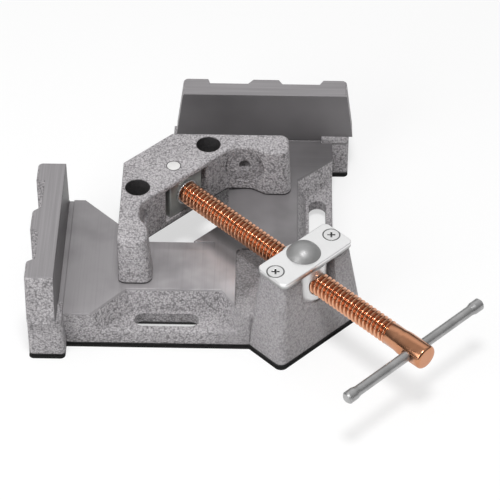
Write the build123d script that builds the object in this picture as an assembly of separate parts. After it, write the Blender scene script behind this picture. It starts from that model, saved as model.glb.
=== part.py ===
from build123d import *
import math
import os

# Corner clamp. Lengths are in millimetres and angles in degrees.
# The origin lies on the bench under the work corner, where the planes of the two fence
# faces meet. X runs along one fence, Y along the other, Z is up. The screw lies on the
# diagonal between them. Pieces on the screw are made with X along it, then turned.
# The clamp is symmetric about the upright plane through the screw.

# How far a cutting shape reaches past the surface it cuts
OVERCUT = 1.0

# Table of the base casting
TABLE_TOP = 25.0
TABLE_THICK = 8.0
TABLE_START = 61.5
TABLE_EDGE = 161.5
NOTCH_HALF = 36.5
NOTCH_BACK = 97.4
NOTCH_TIP = 123.6
NOTCH_ROLL_WIDTH = 7.5
NOTCH_ROLL_DEPTH = 1.0
GROOVE_WIDTH = 3.0
GROOVE_DEPTH = 1.0
PAD_START = 103.2
PAD_DEPTH = 0.8
PAD_CORNER_RADIUS = 4.0
WALL = 7.0
SKIRT = 4.0
RIB_HALF = 3.5
RIB_PLACE = 43.0
CAVITY_TIP_GAP = 8.8

# Bench flanges with a slot, one in each free side of the table
FLANGE_TOP = 12.0
FLANGE_THICK = 6.5
FLANGE_EDGE_RADIUS = 2.0
POCKET_BACK = 139.5
POCKET_SLOPE = 5.5
POCKET_TOP_BACK = (39.0, 95.0)
POCKET_TOP_FRONT = (18.0, 110.0)
POCKET_FLOOR_BACK = (43.5, 91.0)
POCKET_FLOOR_FRONT = (23.3, 106.0)
SLOT_CENTRE = 63.2
SLOT_LINE = 152.2
SLOT_WIDTH = 10.6
SLOT_LENGTH = 38.0

# Fences
FENCE_TOP = 60.0
FENCE_FACE_BOTTOM = 27.7
FENCE_TOP_SPAN = (67.7, 169.7)
FENCE_BOTTOM_SPAN = (63.3, 174.1)
FENCE_FOOT_SPAN = (64.8, 171.9)
FENCE_THICK = 16.7
FENCE_WALL = 11.5
FENCE_POCKET_BOTTOM = 14.0
FENCE_POCKETS = (((84.2, 108.0), (82.3, 112.9)), ((129.5, 152.8), (126.0, 156.3)))
FENCE_TOE_TOP = 3.0
FENCE_TOE_BOTTOM = 4.6
FENCE_EDGE_RADIUS = 1.6
FENCE_END_RADIUS = 3.0

# Screw and its thread
AXIS_Z = 43.0
PITCH = 3.0
THREAD_MEAN_RADIUS = 6.2
THREAD_OFFSET = 0.8
THREAD_START = 103.8
THREAD_TURNS_PER_RUN = 7
THREAD_RUNS = 8
THREAD_CLEARANCE = 0.55
SHANK_RADIUS = 6.8
HEAD_CENTRE = 290.4
HEAD_RADIUS = 7.3
HEAD_HALF = 7.6
HEAD_BLEND = 4.0
SCREW_END = 299.6
SCREW_END_ROUND = 1.6
TIP_RADIUS = 5.0
TIP_LENGTH = 7.8
TIP_CHAMFER = 0.6
GROOVE_RADIUS = 3.7
GROOVE_CENTRE = 98.6
TIP_GROOVE_WIDTH = 2.8

# Pedestal, nut and keeper plate
PEDESTAL_TOP = 55.0
PEDESTAL_HALF_BOTTOM = 35.1
PEDESTAL_HALF_TOP = 28.0
PEDESTAL_REAR_BOTTOM = 188.8
PEDESTAL_REAR_TOP = 192.5
PEDESTAL_FRONT_BOTTOM = 219.9
PEDESTAL_FRONT_TOP = 213.1
PEDESTAL_EDGE_RADIUS = 4.5
PEDESTAL_FOOT_RADIUS = 3.0
SLOT_FLOOR = 31.0
NUT_CENTRE = 201.8
NUT_RADIUS = 13.5
NUT_SIDE_CLEARANCE = 0.15
NUT_END_CLEARANCE = 0.2
SPIGOT_RADIUS = 10.0
DOME_HEIGHT = 6.4
TRUNNION_RADIUS = 6.0
TRUNNION_LENGTH = 10.0
PLATE_THICK = 3.3
PLATE_REAR = 191.5
PLATE_FRONT = 214.5
PLATE_HALF = 28.2
PLATE_CORNER_RADIUS = 3.5
PLATE_EDGE_RADIUS = 0.6
PLATE_SCREW_PLACE = 22.8
PLATE_SCREW_RADIUS = 2.5
PLATE_SCREW_HEAD_RADIUS = 4.9
PLATE_SCREW_LENGTH = 16.0
PLATE_SCREW_HEAD = 2.4
PLATE_SCREW_LIP = 0.35
CROSS_WIDTH = 1.1
CROSS_SPAN = 4.6
CROSS_DEPTH = 1.6

# Moving jaw
JAW_BOTTOM = 25.3
JAW_TOP = 56.3
JAW_FACE = 34.2
JAW_MACHINED = 1.0
JAW_NOSE = 67.6
JAW_FRONT = 102.6
ARM_END_TOP = 133.6
ARM_END_BOTTOM = 135.6
ARM_INSIDE_TOP = 51.5
ARM_INSIDE_BOTTOM = 54.0
ARM_CORNER_RADIUS = 5.5
WAIST_INSIDE_TOP = 46.0
WAIST_INSIDE_BOTTOM = 48.8
WAIST_END = 111.5
WAIST_SLOPE = 8.5
WAIST_RADIUS = 8.0
JAW_EDGE_RADIUS = 1.5
PAD_HOLE_PLACE = 107.0
PAD_HOLE_RADIUS = 3.5
SPOTFACE_RADIUS = 12.0
SPOTFACE_DEPTH = 47.8
BIG_HOLE_RADIUS = 7.5
BIG_HOLE_PLACE = 90.9
BIG_HOLE_SIDE = 29.0
RECESS_ROOF = 53.0
RECESS_FLOOR = 28.9
RECESS_MOUTH_HALF = 17.8

# Nose block, pins and washer
PIVOT_PLACE = 91.1
PIVOT_RADIUS = 4.0
NOSE_HALF = 13.0
NOSE_FRONT = 101.9
NOSE_GAP = 0.3
NOSE_EDGE_RADIUS = 1.2
NOSE_PIN_RADIUS = 1.25
NOSE_PIN_LENGTH = 14.0
WASHER_RADIUS = 8.0
WASHER_THICK = 1.5
WASHER_EDGE_RADIUS = 0.3
WASHER_GAP = 0.1
RUNNING_FIT = 0.05
SEAT_FIT = 0.01

# Sliding bar
BAR_RADIUS = 3.0
BAR_LENGTH = 110.0
BAR_END_RADIUS = 3.7
BAR_END_LENGTH = 9.0
BAR_END_BLEND = 3.0
BAR_TIP_ROUND = 1.0

ROOT2 = math.sqrt(2)


def on_diagonal(shape):
    """Turns a shape made with X along the screw into its place."""
    return Rot(0, 0, -45) * shape


def along_screw(shape):
    """Lays a shape made about the Z axis onto the screw's axis."""
    return on_diagonal(Pos(0, 0, AXIS_Z) * Rot(0, 90, 0) * shape)


def mirrored(shape):
    """The same feature on the other fence's side."""
    return mirror(shape, about=Plane(origin=(0, 0, 0), z_dir=(1, 1, 0)))


def with_mirror(shape):
    return shape + mirrored(shape)


def prism(points, bottom, top):
    face = make_face(Polyline(*points, close=True))
    return Pos(0, 0, bottom) * extrude(face, top - bottom)


def block(x, y, z):
    """A box from its lowest and highest values on each axis."""
    size = [high - low for low, high in (x, y, z)]
    centre = [(high + low) / 2 for low, high in (x, y, z)]
    return Pos(*centre) * Box(*size)


def upright(x, y, radius, bottom, top):
    return Pos(x, y, (bottom + top) / 2) * Cylinder(radius, top - bottom)


def turned(points):
    """A solid of revolution about Z from a half section in radius and height."""
    section = Polyline(*[(radius, 0, height) for radius, height in points], close=True)
    return revolve(make_face(section), Axis.Z)


def slanted_edges(shape):
    return [edge for edge in shape.edges() if abs(edge.tangent_at(0.5).Z) > 0.5]


def edges_at_height(shape, height, tolerance=0.01):
    found = []
    for edge in shape.edges():
        box = edge.bounding_box()
        if abs(box.min.Z - height) < tolerance and abs(box.max.Z - height) < tolerance:
            found.append(edge)
    return found


def thread_runs(mean_radius, first, last):
    """Single-start thread: an offset circle twisted along Z, in runs of whole turns."""
    run = PITCH * THREAD_TURNS_PER_RUN
    wire = Wire([Edge.make_circle(mean_radius).moved(Location((THREAD_OFFSET, 0, 0)))])
    turn = Solid.extrude_linear_with_rotation(
        wire, (0, 0, 0), (0, 0, run), 360 * THREAD_TURNS_PER_RUN
    )
    runs = [Pos(0, 0, THREAD_START + run * i) * turn for i in range(first, last)]
    return runs[0].fuse(*runs[1:])


def table():
    """The flat table with its diagonal notch, still solid underneath."""
    wall_sum = NOTCH_HALF * ROOT2
    tip_sum = NOTCH_TIP * ROOT2
    foot_sum = PEDESTAL_HALF_BOTTOM * ROOT2
    half = [
        (NOTCH_BACK, NOTCH_BACK - tip_sum),
        (NOTCH_BACK, wall_sum - NOTCH_BACK),
        (TABLE_START, wall_sum - TABLE_START),
        (TABLE_START, FENCE_WALL),
        (TABLE_EDGE, FENCE_WALL),
        (TABLE_EDGE, foot_sum - TABLE_EDGE),
    ]
    other_half = [(-y, -x) for x, y in reversed(half)]
    return prism(half + other_half, 0, TABLE_TOP)


def notch_roll():
    """Shallow slope worn along the back edge of the notch."""
    start = NOTCH_BACK - NOTCH_HALF * ROOT2
    section = make_face(
        Polyline(
            (-NOTCH_BACK, TABLE_TOP - NOTCH_ROLL_DEPTH),
            (-NOTCH_BACK, TABLE_TOP + NOTCH_ROLL_DEPTH),
            (-NOTCH_BACK - NOTCH_ROLL_WIDTH, TABLE_TOP + NOTCH_ROLL_DEPTH),
            (-NOTCH_BACK - NOTCH_ROLL_WIDTH, TABLE_TOP),
            close=True,
        )
    )
    length = NOTCH_BACK - NOTCH_ROLL_WIDTH - start
    return Pos(start, 0, 0) * extrude(Plane.YZ * section, length)


def pad():
    """Raw cast area around the pedestal, a little lower than the machined table."""
    size = TABLE_EDGE + WALL - PAD_START
    outline = Rectangle(size, size, align=(Align.MIN, Align.MAX))
    inner = outline.vertices().sort_by_distance((0, 0, 0))[0]
    outline = fillet(inner, PAD_CORNER_RADIUS)
    place = Pos(PAD_START, -PAD_START, TABLE_TOP - PAD_DEPTH)
    return place * extrude(outline, 2 * PAD_DEPTH)


def bench_pocket():
    """Sloping cut in the table's side down to the bench flange, and its slot."""
    def quad(back, front, depth, height):
        return Pos(0, 0, height) * make_face(
            Polyline(
                (front[0], -TABLE_EDGE - OVERCUT),
                (back[0], -depth),
                (back[1], -depth),
                (front[1], -TABLE_EDGE - OVERCUT),
                close=True,
            )
        )

    floor = quad(POCKET_FLOOR_BACK, POCKET_FLOOR_FRONT, POCKET_BACK + POCKET_SLOPE, FLANGE_TOP)
    mouth = quad(POCKET_TOP_BACK, POCKET_TOP_FRONT, POCKET_BACK, TABLE_TOP)
    cut = loft([floor, mouth], ruled=True)
    cut += extrude(mouth, OVERCUT)
    slot = extrude(SlotOverall(SLOT_LENGTH, SLOT_WIDTH), FLANGE_TOP + 2 * OVERCUT)
    slot = Pos(SLOT_CENTRE, -SLOT_LINE, -OVERCUT) * slot
    under = block(
        (SLOT_CENTRE - SLOT_LENGTH / 2 - WALL, SLOT_CENTRE + SLOT_LENGTH / 2 + WALL),
        (-TABLE_EDGE + SKIRT, -POCKET_BACK - SKIRT),
        (-OVERCUT, FLANGE_TOP - FLANGE_THICK),
    )
    return cut + slot + under


def table_hollows():
    """The ribbed hollow under the table."""
    top = TABLE_TOP - TABLE_THICK
    wall_sum = (NOTCH_HALF + WALL) * ROOT2
    tip_sum = (NOTCH_TIP + WALL) * ROOT2
    front = POCKET_BACK - WALL
    back = NOTCH_BACK + WALL
    next_bay = RIB_PLACE + WALL
    foot_sum = (PEDESTAL_REAR_BOTTOM - CAVITY_TIP_GAP) * ROOT2
    side_bay = prism(
        [
            (WALL, -wall_sum - WALL),
            (WALL, -front),
            (RIB_PLACE, -front),
            (RIB_PLACE, -wall_sum - RIB_PLACE),
        ],
        -OVERCUT,
        top,
    )
    half = [(next_bay, -front), (next_bay, -back), (tip_sum - back, -back)]
    middle = half + [(-y, -x) for x, y in reversed(half)]
    middle += [(front, front - foot_sum), (foot_sum - front, -front)]
    rib = block((0, 2 * TABLE_EDGE), (-RIB_HALF, RIB_HALF), (-2 * OVERCUT, top + OVERCUT))
    return with_mirror(side_bay) + (prism(middle, -OVERCUT, top) - on_diagonal(rib))


def fence():
    """The fence along X, with three lugs on its back and a foot past the table's edge."""
    upper = [
        (FENCE_TOP_SPAN[0], FENCE_TOP),
        (FENCE_TOP_SPAN[1], FENCE_TOP),
        (FENCE_BOTTOM_SPAN[1], FENCE_FACE_BOTTOM),
        (FENCE_BOTTOM_SPAN[0], FENCE_FACE_BOTTOM),
    ]
    body = extrude(Plane.XZ * make_face(Polyline(*upper, close=True)), -FENCE_THICK)
    body = fillet(back_corners(body), FENCE_END_RADIUS)
    top_edges = [edge for edge in edges_at_height(body, FENCE_TOP) if edge.center().Y > 1]
    body = fillet(top_edges, FENCE_EDGE_RADIUS)
    foot = block(FENCE_FOOT_SPAN, (0, FENCE_THICK), (0, FENCE_FACE_BOTTOM))
    body += fillet(back_corners(foot), FENCE_END_RADIUS)
    for inside, outside in FENCE_POCKETS:
        plan = [
            (inside[0], FENCE_WALL),
            (inside[1], FENCE_WALL),
            (outside[1], FENCE_THICK + OVERCUT),
            (outside[0], FENCE_THICK + OVERCUT),
        ]
        body -= prism(plan, FENCE_POCKET_BOTTOM, FENCE_TOP + OVERCUT)
    toe = make_face(
        Polyline(
            (FENCE_WALL, 0),
            (-FENCE_TOE_BOTTOM, 0),
            (-FENCE_TOE_TOP, FENCE_FACE_BOTTOM),
            (FENCE_WALL, FENCE_FACE_BOTTOM),
            close=True,
        )
    )
    toe_start = TABLE_EDGE - WALL
    toe = Pos(toe_start, 0, 0) * extrude(Plane.YZ * toe, FENCE_FOOT_SPAN[1] - toe_start)
    corner = [
        edge for edge in slanted_edges(toe)
        if edge.center().Y < 0 and edge.center().X > TABLE_EDGE
    ]
    return body + fillet(corner, FENCE_END_RADIUS)


def back_corners(shape):
    return [edge for edge in slanted_edges(shape) if edge.center().Y > FENCE_THICK - 0.1]


def pedestal():
    """Tapered post for the nut, made with X along the screw."""
    def level(rear, front, half, height):
        return Pos((rear + front) / 2, 0, height) * Rectangle(front - rear, 2 * half)

    post = loft(
        [
            level(PEDESTAL_REAR_BOTTOM, PEDESTAL_FRONT_BOTTOM, PEDESTAL_HALF_BOTTOM, 0),
            level(PEDESTAL_REAR_TOP, PEDESTAL_FRONT_TOP, PEDESTAL_HALF_TOP, PEDESTAL_TOP),
        ],
        ruled=True,
    )
    return on_diagonal(fillet(slanted_edges(post), PEDESTAL_EDGE_RADIUS))


def flange_edges(body):
    """The outer upper edges of the two bench flanges."""
    return [
        edge for edge in edges_at_height(body, FLANGE_TOP)
        if max(edge.center().X, -edge.center().Y) > TABLE_EDGE - 0.1
    ]


def pedestal_foot(body):
    """The edges where the pedestal rises from the raw cast pad."""
    found = []
    for edge in edges_at_height(body, TABLE_TOP - PAD_DEPTH):
        middle = edge.center()
        along = (middle.X - middle.Y) / ROOT2
        across = (middle.X + middle.Y) / ROOT2
        if along > PEDESTAL_REAR_BOTTOM and abs(across) < PEDESTAL_HALF_BOTTOM:
            found.append(edge)
    return found


def pedestal_cuts():
    """Through slot for the nut and the screw, trunnion bore and plate screw holes."""
    side = NUT_RADIUS + NUT_SIDE_CLEARANCE
    reach = PEDESTAL_FRONT_BOTTOM - NUT_CENTRE + WALL
    cuts = block(
        (NUT_CENTRE - reach, NUT_CENTRE + reach),
        (-side, side),
        (SLOT_FLOOR, PEDESTAL_TOP + OVERCUT),
    )
    cuts += upright(
        NUT_CENTRE, 0, TRUNNION_RADIUS + RUNNING_FIT,
        SLOT_FLOOR - TRUNNION_LENGTH - OVERCUT, SLOT_FLOOR + OVERCUT,
    )
    for side in (-PLATE_SCREW_PLACE, PLATE_SCREW_PLACE):
        cuts += upright(
            NUT_CENTRE, side, PLATE_SCREW_RADIUS + SEAT_FIT,
            PEDESTAL_TOP - PLATE_SCREW_LENGTH, PEDESTAL_TOP + OVERCUT,
        )
    return on_diagonal(cuts)


def base_casting():
    groove = block(
        (0, TABLE_EDGE + OVERCUT),
        (-GROOVE_WIDTH, 0),
        (TABLE_TOP - GROOVE_DEPTH, TABLE_TOP + OVERCUT),
    )
    body = table() - with_mirror(groove + notch_roll()) - pad()
    body += pedestal()
    body = fillet(pedestal_foot(body), PEDESTAL_FOOT_RADIUS)
    body -= with_mirror(bench_pocket()) + table_hollows()
    body = fillet(flange_edges(body), FLANGE_EDGE_RADIUS)
    body += with_mirror(fence())
    return body - pedestal_cuts()


def jaw_plan(inside, waist, end, height):
    """Outline of the rough jaw, waisted on the inside of each arm."""
    rough_face = JAW_FACE - JAW_MACHINED
    half = [
        (JAW_NOSE * ROOT2 - rough_face, -rough_face),
        (end, -rough_face),
        (end, -inside),
        (WAIST_END + WAIST_SLOPE, -inside),
        (WAIST_END, -waist),
        (JAW_FRONT * ROOT2 - waist, -waist),
    ]
    points = half + [(-y, -x) for x, y in reversed(half)]
    face = make_face(Polyline(*points, close=True))

    def corners(*places):
        wanted = [half[place] for place in places]
        wanted += [(-y, -x) for x, y in wanted]
        return [
            vertex for vertex in face.vertices()
            if min(math.hypot(vertex.X - x, vertex.Y - y) for x, y in wanted) < 0.01
        ]

    face = fillet(corners(1, 2), ARM_CORNER_RADIUS)
    face = fillet(corners(3, 4, 5), WAIST_RADIUS)
    return Pos(0, 0, height) * face


def moving_jaw():
    jaw = loft(
        [
            jaw_plan(ARM_INSIDE_BOTTOM, WAIST_INSIDE_BOTTOM, ARM_END_BOTTOM, JAW_BOTTOM),
            jaw_plan(ARM_INSIDE_TOP, WAIST_INSIDE_TOP, ARM_END_TOP, JAW_TOP),
        ],
        ruled=True,
    )
    jaw = fillet(edges_at_height(jaw, JAW_TOP), JAW_EDGE_RADIUS)
    through = (JAW_BOTTOM - OVERCUT, JAW_TOP + OVERCUT)
    jaw -= with_mirror(block((0, 2 * ARM_END_BOTTOM), (-JAW_FACE, 0), through))
    spotface = Pos(PAD_HOLE_PLACE, -SPOTFACE_DEPTH, AXIS_Z) * Rot(90, 0, 0) * Cylinder(
        SPOTFACE_RADIUS, ARM_INSIDE_BOTTOM - SPOTFACE_DEPTH,
        align=(Align.CENTER, Align.CENTER, Align.MIN),
    )
    pad_hole = Pos(PAD_HOLE_PLACE, -SPOTFACE_DEPTH, AXIS_Z) * Rot(90, 0, 0) * Cylinder(
        PAD_HOLE_RADIUS, 2 * SPOTFACE_DEPTH
    )
    jaw -= with_mirror(spotface + pad_hole)
    cuts = upright(PIVOT_PLACE, 0, PIVOT_RADIUS + SEAT_FIT, *through)
    for side in (-BIG_HOLE_SIDE, BIG_HOLE_SIDE):
        cuts += upright(BIG_HOLE_PLACE, side, BIG_HOLE_RADIUS, *through)
    seat = NOSE_HALF + NOSE_GAP
    cuts += upright(PIVOT_PLACE, 0, seat, RECESS_FLOOR, RECESS_ROOF)
    cuts += prism(
        [
            (PIVOT_PLACE, -seat),
            (JAW_FRONT + OVERCUT, -RECESS_MOUTH_HALF),
            (JAW_FRONT + OVERCUT, RECESS_MOUTH_HALF),
            (PIVOT_PLACE, seat),
        ],
        RECESS_FLOOR,
        RECESS_ROOF,
    )
    return jaw - on_diagonal(cuts)


def nose_block():
    bottom = RECESS_FLOOR + NOSE_GAP
    top = RECESS_ROOF - NOSE_GAP
    sides = (-NOSE_HALF, NOSE_HALF)
    back = block((PIVOT_PLACE - NOSE_HALF, PIVOT_PLACE), sides, (bottom, top))
    body = upright(PIVOT_PLACE, 0, NOSE_HALF, bottom, top) & back
    body += block((PIVOT_PLACE, NOSE_FRONT), sides, (bottom, top))
    front_corners = [
        edge for edge in slanted_edges(body) if edge.center().X > NOSE_FRONT - 0.1
    ]
    body = fillet(front_corners, NOSE_EDGE_RADIUS)
    body -= upright(PIVOT_PLACE, 0, PIVOT_RADIUS + RUNNING_FIT, bottom - OVERCUT, top + OVERCUT)
    tip_bore = Pos(0, 0, AXIS_Z) * Rot(0, 90, 0) * Pos(0, 0, THREAD_START - TIP_LENGTH - NOSE_GAP)
    body -= tip_bore * Cylinder(
        TIP_RADIUS + RUNNING_FIT, TIP_LENGTH, align=(Align.CENTER, Align.CENTER, Align.MIN)
    )
    for side in (-1, 1):
        body -= nose_pin(side, SEAT_FIT)
    return on_diagonal(body)


def nose_pin(side, fit=0.0):
    """One cross pin, tangent to the groove of the screw's tip."""
    across = side * (GROOVE_RADIUS + RUNNING_FIT + NOSE_PIN_RADIUS)
    half = NOSE_PIN_LENGTH / 2
    return upright(GROOVE_CENTRE, across, NOSE_PIN_RADIUS + fit, AXIS_Z - half, AXIS_Z + half)


def clamp_screw():
    thread_end = THREAD_START + PITCH * THREAD_TURNS_PER_RUN * THREAD_RUNS
    tip_end = THREAD_START - TIP_LENGTH
    groove = (GROOVE_CENTRE - TIP_GROOVE_WIDTH / 2, GROOVE_CENTRE + TIP_GROOVE_WIDTH / 2)
    tip = turned(
        [
            (0, tip_end),
            (TIP_RADIUS - TIP_CHAMFER, tip_end),
            (TIP_RADIUS, tip_end + TIP_CHAMFER),
            (TIP_RADIUS, groove[0]),
            (GROOVE_RADIUS, groove[0]),
            (GROOVE_RADIUS, groove[1]),
            (TIP_RADIUS, groove[1]),
            (TIP_RADIUS, THREAD_START),
            (0, THREAD_START),
        ]
    )
    swell = HEAD_CENTRE - HEAD_HALF
    head = turned(
        [
            (0, thread_end),
            (SHANK_RADIUS, thread_end),
            (SHANK_RADIUS, swell - HEAD_BLEND),
            (HEAD_RADIUS, swell),
            (HEAD_RADIUS, SCREW_END),
            (0, SCREW_END),
        ]
    )
    head = fillet(edges_at_height(head, SCREW_END), SCREW_END_ROUND)
    cross_hole = Pos(0, 0, HEAD_CENTRE) * Rot(90, 0, 0) * Cylinder(
        BAR_RADIUS + RUNNING_FIT, 3 * HEAD_RADIUS
    )
    body = thread_runs(THREAD_MEAN_RADIUS, 0, THREAD_RUNS).fuse(tip, head - cross_hole)
    return along_screw(body)


def thrust_washer():
    start = NOSE_FRONT + WASHER_GAP
    ring = Cylinder(WASHER_RADIUS, WASHER_THICK, align=(Align.CENTER, Align.CENTER, Align.MIN))
    ring = fillet(ring.edges(), WASHER_EDGE_RADIUS)
    ring -= Cylinder(TIP_RADIUS + RUNNING_FIT, 3 * WASHER_THICK)
    return along_screw(Pos(0, 0, start) * ring)


def swivel_nut():
    """Upright barrel with a plain lower trunnion and a domed upper one."""
    bottom = SLOT_FLOOR + NUT_END_CLEARANCE
    top = PEDESTAL_TOP - NUT_END_CLEARANCE
    shoulder = PEDESTAL_TOP + PLATE_THICK
    crown = shoulder + DOME_HEIGHT
    sphere = (SPIGOT_RADIUS**2 + DOME_HEIGHT**2) / (2 * DOME_HEIGHT)
    body = turned(
        [
            (0, SLOT_FLOOR - TRUNNION_LENGTH),
            (TRUNNION_RADIUS, SLOT_FLOOR - TRUNNION_LENGTH),
            (TRUNNION_RADIUS, bottom),
            (NUT_RADIUS, bottom),
            (NUT_RADIUS, top),
            (SPIGOT_RADIUS, top),
            (SPIGOT_RADIUS, shoulder),
            (0, shoulder),
        ]
    )
    dome = Pos(0, 0, crown - sphere) * Sphere(sphere)
    body += upright(0, 0, SPIGOT_RADIUS, shoulder, crown) & dome
    body = on_diagonal(Pos(NUT_CENTRE, 0, 0) * body)
    run = PITCH * THREAD_TURNS_PER_RUN
    first = math.floor((NUT_CENTRE - NUT_RADIUS - THREAD_START) / run)
    last = math.ceil((NUT_CENTRE + NUT_RADIUS - THREAD_START) / run)
    return body - along_screw(thread_runs(THREAD_MEAN_RADIUS + THREAD_CLEARANCE, first, last))


def keeper_plate():
    plate = Rectangle(PLATE_FRONT - PLATE_REAR, 2 * PLATE_HALF)
    plate = fillet(plate.vertices(), PLATE_CORNER_RADIUS)
    plate = extrude(plate, PLATE_THICK)
    plate = fillet(edges_at_height(plate, PLATE_THICK), PLATE_EDGE_RADIUS)
    plate = Pos((PLATE_FRONT + PLATE_REAR) / 2, 0, PEDESTAL_TOP) * plate
    plate -= upright(
        NUT_CENTRE, 0, SPIGOT_RADIUS + RUNNING_FIT,
        PEDESTAL_TOP - OVERCUT, PEDESTAL_TOP + PLATE_THICK + OVERCUT,
    )
    for side in (-PLATE_SCREW_PLACE, PLATE_SCREW_PLACE):
        plate -= countersunk_hole(side)
    return on_diagonal(plate)


def countersunk_hole(side):
    """Hole for a plate screw, its cone as deep as the screw's head."""
    top = PEDESTAL_TOP + PLATE_THICK
    bore = PLATE_SCREW_RADIUS + SEAT_FIT
    cone = Cone(
        bore, PLATE_SCREW_HEAD_RADIUS + SEAT_FIT, PLATE_SCREW_HEAD,
        align=(Align.CENTER, Align.CENTER, Align.MAX),
    )
    hole = upright(NUT_CENTRE, side, bore, PEDESTAL_TOP - OVERCUT, top)
    return hole + Pos(NUT_CENTRE, side, top) * cone


def plate_screw(side):
    """Countersunk screw, its head flush with the keeper plate and cylindrical at the rim."""
    top = PEDESTAL_TOP + PLATE_THICK
    rim = PLATE_SCREW_HEAD_RADIUS - PLATE_SCREW_LIP
    screw = turned(
        [
            (0, top - PLATE_SCREW_LENGTH),
            (PLATE_SCREW_RADIUS, top - PLATE_SCREW_LENGTH),
            (PLATE_SCREW_RADIUS, top - PLATE_SCREW_HEAD),
            (rim, top - PLATE_SCREW_LIP),
            (rim, top),
            (0, top),
        ]
    )
    slots = Box(CROSS_SPAN, CROSS_WIDTH, 2 * CROSS_DEPTH)
    slots += Box(CROSS_WIDTH, CROSS_SPAN, 2 * CROSS_DEPTH)
    return on_diagonal(Pos(NUT_CENTRE, side, 0) * (screw - Pos(0, 0, top) * Rot(0, 0, 45) * slots))


def plate_screws():
    return Compound([plate_screw(side) for side in (-PLATE_SCREW_PLACE, PLATE_SCREW_PLACE)])


def nose_pins():
    return Compound([on_diagonal(nose_pin(side)) for side in (-1, 1)])


def jaw_pivot_pin():
    return on_diagonal(upright(PIVOT_PLACE, 0, PIVOT_RADIUS, JAW_BOTTOM, JAW_TOP))


def handle_bar():
    """Bar with swaged ends that stop it in the screw's cross hole."""
    half = BAR_LENGTH / 2
    neck = half - BAR_END_LENGTH
    half_bar = turned(
        [
            (0, 0),
            (BAR_RADIUS, 0),
            (BAR_RADIUS, neck),
            (BAR_END_RADIUS, neck + BAR_END_BLEND),
            (BAR_END_RADIUS, half - BAR_TIP_ROUND),
            (BAR_END_RADIUS - BAR_TIP_ROUND, half),
            (0, half),
        ]
    )
    bar = half_bar + mirror(half_bar, about=Plane.XY)
    return on_diagonal(Pos(HEAD_CENTRE, 0, AXIS_Z) * Rot(-90, 0, 0) * bar)


PIECES = {
    "base_casting": base_casting,
    "moving_jaw": moving_jaw,
    "nose_block": nose_block,
    "nose_pins": nose_pins,
    "jaw_pivot_pin": jaw_pivot_pin,
    "clamp_screw": clamp_screw,
    "thrust_washer": thrust_washer,
    "swivel_nut": swivel_nut,
    "keeper_plate": keeper_plate,
    "plate_screws": plate_screws,
    "handle_bar": handle_bar,
}

os.makedirs("parts", exist_ok=True)
for name, make in PIECES.items():
    export_step(make(), f"parts/{name}.step")
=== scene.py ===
import math

import bmesh
import bpy
from mathutils import Matrix, Vector

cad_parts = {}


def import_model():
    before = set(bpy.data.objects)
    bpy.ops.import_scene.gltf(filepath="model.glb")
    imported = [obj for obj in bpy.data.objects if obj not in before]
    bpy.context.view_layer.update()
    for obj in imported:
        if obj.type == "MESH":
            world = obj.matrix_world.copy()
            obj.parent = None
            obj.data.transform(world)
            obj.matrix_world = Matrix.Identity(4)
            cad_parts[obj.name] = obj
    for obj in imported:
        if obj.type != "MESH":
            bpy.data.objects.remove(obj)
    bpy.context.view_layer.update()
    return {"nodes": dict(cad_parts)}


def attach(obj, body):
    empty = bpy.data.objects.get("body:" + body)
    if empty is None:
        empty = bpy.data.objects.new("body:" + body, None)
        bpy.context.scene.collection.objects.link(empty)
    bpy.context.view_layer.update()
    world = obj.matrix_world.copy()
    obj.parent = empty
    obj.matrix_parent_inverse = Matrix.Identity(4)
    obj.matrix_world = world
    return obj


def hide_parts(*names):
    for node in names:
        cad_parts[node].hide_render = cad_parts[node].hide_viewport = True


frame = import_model()

MM = 0.001

# Soft edge of a mask that should look sharp
HAIR = 0.1 * MM

# The spindle's line runs level and halfway between X and -Y
HALF_ROOT = math.sqrt(0.5)
ALONG = Vector((HALF_ROOT, -HALF_ROOT, 0.0))
ACROSS = Vector((HALF_ROOT, HALF_ROOT, 0.0))
UP = Vector((0.0, 0.0, 1.0))
AXIS_HEIGHT = 43.0 * MM

# Base casting. The fence faces are the planes x = 0 and y = 0.
TABLE_HEIGHT = 25.0 * MM
FENCE_HEIGHT = 60.0 * MM
# Past this in both X and -Y, the casting at the table's level is left raw
RAW_CORNER_START = 103.2 * MM
# Where the pedestal starts along the spindle's line
PEDESTAL_START = 172.0 * MM
PEDESTAL_FADE = 12.0 * MM
# Painted shade on the table: it is darker near the fences, where they and the jaw's arm shade it, and a
# painted shadow lies in a band under the spindle, where the photograph has the spindle's shadow. The
# band is in the material, so it stays there.
BY_FENCES_START = 15.0 * MM
BY_FENCES_END = 80.0 * MM
BAND_HALF = 7.0 * MM
BAND_FADE = 9.0 * MM
# Painted shade: the foot of the base is dark up to here, for the contact shadow along its bottom edge,
# and fades up to the end
RIM_HEIGHT = 1.6 * MM
RIM_END = 2.4 * MM

# Moving jaw
JAW_BOTTOM = 25.3 * MM
JAW_TOP = 56.3 * MM
# How far the jaw's own faces stand from the fence faces, and the inside of its arms' waist
JAW_FACE = 34.2 * MM
WAIST_DEPTH = 47.4 * MM
# The cutter's rings round the pad holes, whose place is measured along the arm
RING_PLACE = 107.0 * MM
RING_RADIUS = 15.0 * MM
RING_FADE = 5.0 * MM
RING_STEP = 2.2 * MM
# The two holes' place along the spindle's line, and to each side of it
JAW_HOLE_PLACE = 90.9 * MM
JAW_HOLE_SIDE = 29.0 * MM
JAW_HOLE_RADIUS = 7.5 * MM
PIVOT_PLACE = 91.1 * MM
PIVOT_RADIUS = 4.0 * MM

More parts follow.
